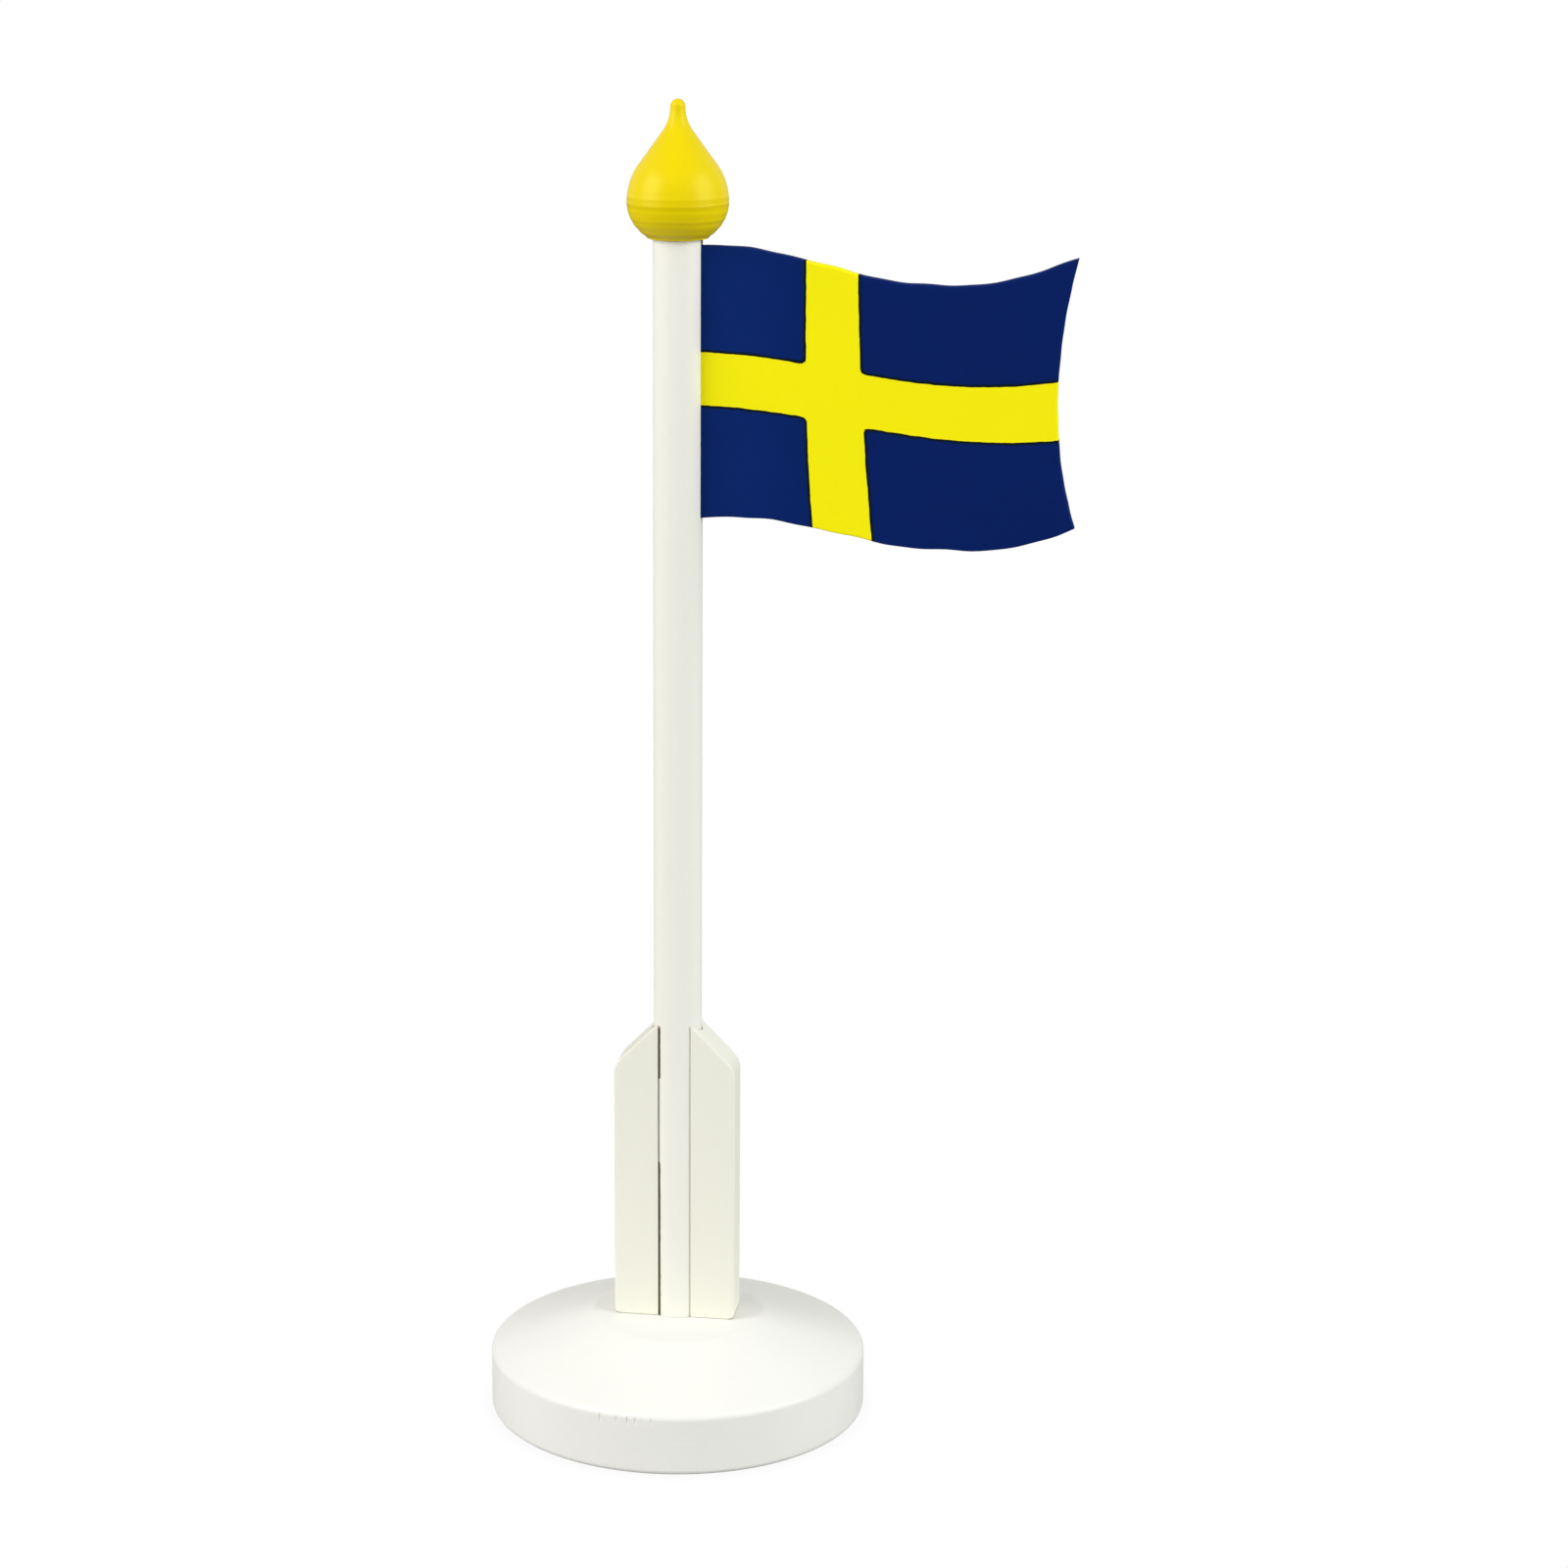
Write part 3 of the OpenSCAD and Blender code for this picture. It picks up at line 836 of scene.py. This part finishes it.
def extruded(name, outline, low_y, high_y):
    """A prism: an outline in the XZ plane, from low_y to high_y."""
    n = len(outline)
    points = [(x, y, z) for y in (low_y, high_y) for x, z in outline]
    faces = [tuple(range(n)), tuple(range(2 * n - 1, n - 1, -1))]
    faces += [(i, n + i, n + (i + 1) % n, (i + 1) % n) for i in range(n)]
    return mesh_piece(name, points, faces)


def sharp_board(name):
    """The right cheek before sanding."""
    shoulder = cheek_top - (cheek_reach - CHEEK_INNER) * math.tan(SLOPE)
    outline = rounded([(CHEEK_INNER, base_h, 0), (cheek_reach, base_h, CHEEK_FOOT_ROUND),
                       (cheek_reach, shoulder, SHOULDER_ROUND), (CHEEK_INNER, cheek_top, 0)],
                      closed=True)
    board = extruded(name, outline, -CHEEK_T / 2, CHEEK_T / 2)
    groove = turned("groove", [(0, 0), (GROOVE_R, 0), (GROOVE_R, 200), (0, 200)], range(0, 360, 2))
    pilot = turned("pilot", [(0, 0), (PILOT_R, 0), (PILOT_R, PILOT_TOP), (0, PILOT_TOP)],
                   range(0, 360, 8))
    pilot.location.x = screw_reach * MM
    return cut(board, groove, pilot)


# %% Sanding
VOXEL, PASSES = 0.25, 7


def sanded(board):
    """Softens every arris of a board."""
    cells = board.modifiers.new("cells", "REMESH")
    cells.mode, cells.voxel_size = "VOXEL", VOXEL * MM
    smooth = board.modifiers.new("smooth", "SMOOTH")
    smooth.factor, smooth.iterations = 0.5, PASSES
    settle(board)
    board.data.shade_smooth()
    return board


# On the left the wider bare wood, darker than the paint, also paints the shade in the open gap beside
# the pole.
LEFT_BARE, RIGHT_BARE = 4.6, 3.8  # half width of the groove's bare wood: paint ran in on the right


def in_groove(x, y, z):
    """True on the wall of a cheek's groove and of its screw hole."""
    off = -left_stand_off if x < 0 else 0
    in_pilot = math.hypot(abs(x - off) - screw_reach, y) < PILOT_R + 0.3 and z < PILOT_TOP + 0.5
    bare = LEFT_BARE if x < 0 else RIGHT_BARE
    return in_pilot or (abs(y) < bare and math.hypot(x - off, y) < GROOVE_R + 0.04)


for side, name, node in ((1, "right_cheek", "cheek_right"), (-1, "left_cheek", "cheek_left")):
    cheek = sanded(sharp_board(name))
    if side < 0:
        for vertex in cheek.data.vertices:
            vertex.co.x = -vertex.co.x - left_stand_off * MM
        cheek.data.flip_normals()
    paint(cheek, board_paint, bare_wood, in_groove)
    hand_over(cheek, "stand", "ivory_paint", node)

# %% [markdown]
# ## The pole
#
# A 12 mm dowel, chamfered at its foot. Dowels are planed a little unevenly, so its surface
# wanders inwards by a few hundredths, never outwards, because it has to slide in its socket.
# A saw cut at its top takes the flag's edge, and a hole in its end takes the finial's pin.

# %% Pole
PIN_HOLE_R, PIN_DEEP, FOOT_CHAMFER, SLOT_DEEP = 2.55, 11.0, 0.8, 3.2
SLOT_FLOOR, SLOT_HALF = pole_r - SLOT_DEEP, flag_t / 2 + 0.05
flag_low = 229.4  # height of the flag's lower edge at the pole


def planed(radius, height, angle):
    """Takes up to four hundredths off the dowel, in long uneven strokes."""
    stroke = np.sin(height / 19 + 2 * angle) + np.sin(height / 7.3 - 3 * angle + 1) * 0.5
    return radius - np.where(radius > pole_r - 0.01, 0.02 + 0.012 * stroke, 0), height


pole_outline = [(0, pole_foot), (pole_r - FOOT_CHAMFER, pole_foot), (pole_r, pole_foot + FOOT_CHAMFER),
                (pole_r, pole_top - 0.2), (pole_r - 0.2, pole_top), (PIN_HOLE_R, pole_top),
                (PIN_HOLE_R, pole_top - PIN_DEEP), (0, pole_top - PIN_DEEP)]
dowel_pole = turned("dowel_pole", spaced(pole_outline, 1.6), np.arange(0, 360, 3.0), planed)
saw_outline = [(SLOT_FLOOR, flag_low), (pole_r + 1, flag_low), (pole_r + 1, pole_top + 1),
               (SLOT_FLOOR, pole_top + 1)]
saw_cut = extruded("saw_cut", saw_outline, -SLOT_HALF, SLOT_HALF)
cut(dowel_pole, saw_cut)


def inside_pole(x, y, z):
    """True in the saw cut and in the pin's hole."""
    in_cut = x > SLOT_FLOOR - 0.01 and abs(y) < SLOT_HALF + 0.01 and z > flag_low - 0.01
    in_hole = math.hypot(x, y) < PIN_HOLE_R + 0.1 and z > pole_top - PIN_DEEP - 0.1
    return in_hole or (in_cut and math.hypot(x, y) < pole_r - 0.15)


paint(dowel_pole, pole_paint, bare_wood, inside_pole)
hand_over(dowel_pole, "mast", "ivory_paint", "pole")

# %% [markdown]
# ## The flag
#
# A plate of 3 mm plywood, sawn to the outline of a flag in the wind. Its upper and lower edges
# are cosine waves of one wavelength on a rising line, and its fly edge is a shallow hollow. A
# grid of points between those edges, close together near the border, can round the plate's
# arrises and carry the distance from the cross that the paint needs.

# %% Outline of the flag
HOIST_H, WAVE_LEN, FLY_RISE, FLY_REACH, FLY_HOLLOW = 65.5, 150.0, 15.5, 91.0, 4.6
TOP_WAVE, BOTTOM_WAVE = (10.0, -1.0), (9.0, 3.0)  # each edge's swing, and where its crest is


def wave(x, swing, crest):
    """Height of a wavy edge above its hoist end, flat inside the pole."""
    x = np.maximum(x, pole_r)
    turn = 2 * np.pi / WAVE_LEN
    climb = FLY_RISE * (x - pole_r) / FLY_REACH
    return climb + swing * (np.cos(turn * (x - crest)) - np.cos(turn * (pole_r - crest)))


def fly_x(z):
    """Distance from the pole's axis to the fly edge."""
    return FLY_REACH + FLY_HOLLOW * ((z - flag_low - HOIST_H / 2) / (HOIST_H / 2)) ** 2


def saw_wander(x, phase):
    """A hand-held saw's wandering, in millimetres, none at the pole."""
    fade = np.clip((x - pole_r) / 12, 0, 1)
    return fade * (0.10 * np.sin(x / 3.1 + phase) + 0.08 * np.sin(x / 1.7 + 2 * phase))


def sawn_trough(edge, spare):
    """Raises the lowest stretch of an edge by up to spare: a saw cuts a trough as a straight run."""
    over = edge - edge.min() - spare
    return edge + 0.5 * (np.hypot(over, 0.4) - over)


# %% The painted cross
BAND_TOP, BAND_BOTTOM = (264.6, 3.6, 4.8, 0.7), (252.7, 1.3, 4.1, 2.5)
INNER_ROUND = 1.3  # how far the blue corners beside the cross are rounded


def band_edge(x, level, rise, swing, crest):
    return level + rise * x / 90 + swing * np.cos(2 * np.pi / WAVE_LEN * (x - crest))


def cross_distance(x, z):
    """Distance from the edge of the cross, below zero inside it."""
    drop = np.clip((flag_low + HOIST_H - 3 - z) / HOIST_H, 0, 1)
    upright = np.maximum(31.0 + 2.3 * drop ** 3 - x, x - 43.3 - 3.9 * drop ** 1.7)
    level = np.maximum(z - band_edge(x, *BAND_TOP), band_edge(x, *BAND_BOTTOM) - z)
    share = np.clip(0.5 + 0.5 * (upright - level) / INNER_ROUND, 0, 1)
    return upright + (level - upright) * share - INNER_ROUND * share * (1 - share)


# %% Flag mesh
EASE, CELL = 0.45, 0.75  # rounding of the plate's arrises, and the grid's spacing inside them


def shares(length, step):
    """Places from 0 to 1 along a length in mm, closer together at both ends."""
    near = [0, 0.04, 0.12, 0.24, 0.36, EASE]
    inner = np.linspace(EASE, length - EASE, max(2, int(length / step)))[1:-1]
    return np.array([*near, *inner, *(length - np.array(near[::-1]))]) / length


FLY_LIFT, FLY_DROP = 0.3, 0.9  # how far the saw cut in at the flag's lower and upper fly corners


def flag_grid():
    """Arrays of x, z and the half thickness over the plate."""
    low_fly, top_fly = (flag_low + up + wave(FLY_REACH + FLY_HOLLOW, *w)
                        for up, w in ((0, BOTTOM_WAVE), (HOIST_H, TOP_WAVE)))
    across, up = np.meshgrid(shares(FLY_REACH, CELL), shares(HOIST_H, CELL), indexing="ij")
    end = fly_x(low_fly + (top_fly - FLY_DROP - low_fly) * up) - SKIN
    start = SLOT_FLOOR + 0.03
    x = start + (end - start) * across
    low = flag_low + sawn_trough(wave(x, *BOTTOM_WAVE), 0.5) + saw_wander(x, 0.4)
    low = low + FLY_LIFT * np.clip((x - 80) / 14, 0, 1) ** 2
    top = flag_low + HOIST_H + sawn_trough(wave(x, *TOP_WAVE), 0.4) + saw_wander(x, 2.1)
    top = top - FLY_DROP * np.clip((x - 85) / 10.6, 0, 1) ** 2
    x = x - 0.12 * np.clip((x - 80) / 10, 0, 1) * (1 + np.sin(up * 41) * np.sin(up * 17)) / 2
    z = low + (top - low) * up
    rim = np.minimum(np.minimum(across, 1 - across) * FLY_REACH, np.minimum(up, 1 - up) * HOIST_H)
    inward = EASE - np.clip(rim, 0, EASE)
    half = flag_t / 2 - EASE + np.sqrt(EASE ** 2 - inward ** 2)
    return x, z, half - 0.02


x, z, half = flag_grid()
columns, rows = x.shape
count = columns * rows
points = [np.stack([x, side * half, z], axis=-1).reshape(-1, 3) for side in (-1, 1)]
faces = []
for i in range(columns - 1):
    for j in range(rows - 1):
        a, b, c, d = i * rows + j, (i + 1) * rows + j, (i + 1) * rows + j + 1, i * rows + j + 1
        faces += [(a, b, c, d), (count + d, count + c, count + b, count + a)]
border = ([i * rows for i in range(columns)] + [(columns - 1) * rows + j for j in range(1, rows)]
          + [i * rows + rows - 1 for i in range(columns - 2, -1, -1)] + list(range(rows - 2, 0, -1)))
for a, b in zip(border, border[1:] + border[:1]):
    faces.append((a, count + a, count + b, b))
painted_flag = mesh_piece("painted_flag", np.concatenate(points), faces, crease=60)
cross = painted_flag.data.attributes.new("cross", "FLOAT", "POINT")
cross.data.foreach_set("value", np.tile(cross_distance(x, z).ravel(), 2).astype(np.float32))
paint(painted_flag, flag_paint)
hand_over(painted_flag, "mast", "flag_paint", "flag_plate")

# %% [markdown]
# ## The finial
#
# A drop: a round belly that narrows in a straight flank to a hollow neck and a small rounded
# tip. The outline is two quarter ellipses, a straight line that leaves the upper one where it
# has the flank's slope, and an arc that touches both the line and the tip. The turner's rings
# near its foot are real shape here, and the material adds the finer ones.

# %% Outline of the drop
BELLY_Z, BELLY_LOW, BELLY_HIGH, FLANK, NIB_R = 8.5, 10.4, 13.8, 36.0, 1.8


def drop_outline():
    """Half outline of the drop above its foot, from the foot to the tip."""
    a, slope, steps = finial_r, math.tan(math.radians(FLANK)), 16
    rise = BELLY_HIGH * slope / math.hypot(a / BELLY_HIGH, slope)
    shoulder = (a * math.sqrt(1 - (rise / BELLY_HIGH) ** 2), BELLY_Z + rise)
    nib_z = finial_h - NIB_R - SKIN
    c, s = math.cos(math.radians(FLANK)), math.sin(math.radians(FLANK))
    neck_r = ((NIB_R - shoulder[0]) * c + (nib_z - shoulder[1]) * s) / (1 - c)
    lower = [(a * math.sqrt(1 - ((BELLY_Z - t) / BELLY_LOW) ** 2), t)
             for t in np.linspace(0.3, BELLY_Z, steps)]
    upper = [(a * math.sqrt(1 - (t / BELLY_HIGH) ** 2), BELLY_Z + t)
             for t in np.linspace(0, rise, steps)[1:]]
    neck = arc((NIB_R + neck_r, nib_z), neck_r, 180 + FLANK, 180, steps)
    return lower + upper + neck + arc((0, nib_z), NIB_R, 0, 90, steps)[1:-1] + [(0, nib_z + NIB_R)]


RING_DEPTH, RINGS_END = 0.08, 14  # how deep the rings are at the foot, and where they have gone


def rings_at_foot(radius, height, angle):
    """Shallow rings, deepest near the foot of the drop and gone above its belly."""
    up = height - pole_top
    fade = np.clip(1 - up / RINGS_END, 0, 1) * (up > 0.4) * (radius > pole_r + 0.5)
    ring = np.sin(up * 3.6 + 0.3 * np.sin(angle + 1)) + 0.4 * np.sin(up * 6.1 + 2)
    return radius - RING_DEPTH * fade * (1 + ring / 1.4), height


bore = [(0, PIN_DEEP + 1), (PIN_HOLE_R, PIN_DEEP + 1), (PIN_HOLE_R, 0)]
foot_r = drop_outline()[0][0]
drop = spaced(bore + [(foot_r - 0.3, 0), (foot_r - 0.08, 0.08)] + drop_outline(), 0.3)
drop = [(r, up + pole_top) for r, up in drop]
drop_finial = turned("drop_finial", drop, np.arange(0, 360, 2.25), rings_at_foot)
paint(drop_finial, yellow_enamel, bare_wood,
      lambda x, y, z: math.hypot(x, y) < PIN_HOLE_R + 0.05 and z < pole_top + PIN_DEEP + 1.1)
hand_over(drop_finial, "mast", "yellow_gloss_paint", "finial")

# %% [markdown]
# ## The finial's pin
#
# A shop-bought dowel pin has straight flutes that let glue and air out, and chamfered ends. It
# is hidden inside the joint, but whoever takes the stand apart will find it.

# %% Pin
PIN_R = box_mm("finial_pin")[1][0] - SKIN
pin_low, pin_high = box_mm("finial_pin")[0][2], box_mm("finial_pin")[1][2]
FLUTES = 20


def fluted(radius, height, angle):
    """Presses straight flutes into the pin's side."""
    side = radius > PIN_R - 0.3
    return radius - np.where(side, 0.1 * (1 + np.cos(FLUTES * angle)) / 2, 0), height


pin_outline = [(0, pin_low), (PIN_R - 0.6, pin_low), (PIN_R, pin_low + 0.8),
               (PIN_R, pin_high - 0.8), (PIN_R - 0.6, pin_high), (0, pin_high)]
fluted_pin = turned("fluted_pin", spaced(pin_outline, 1.0), np.arange(0, 360, 360 / FLUTES / 6), fluted)
paint(fluted_pin, bare_wood)
hand_over(fluted_pin, "mast", "bare_wood", "finial_pin")

# %% [markdown]
# ## The screws
#
# The CAD screws have the right shape already, with their countersunk heads and cross recesses,
# so they stay as they are and only get their zinc.

# %% Screws
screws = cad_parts["cheek_screws"]
for index in range(len(screws.material_slots)):
    screws.material_slots[index].material = zinc
print("screws have", len(screws.material_slots), "material slot")

# %% [markdown]
# ## Closing
#
# This prints the sizes of the CAD model's box and of the visual model's box. The visual
# model has to stay inside the CAD model's box.

# %% Box sizes
visual_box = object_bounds()
for label, (low, high) in (("CAD", cad_box), ("visual", visual_box)):
    print(label, "box", [round(c / MM, 2) for c in (high - low)], "mm")
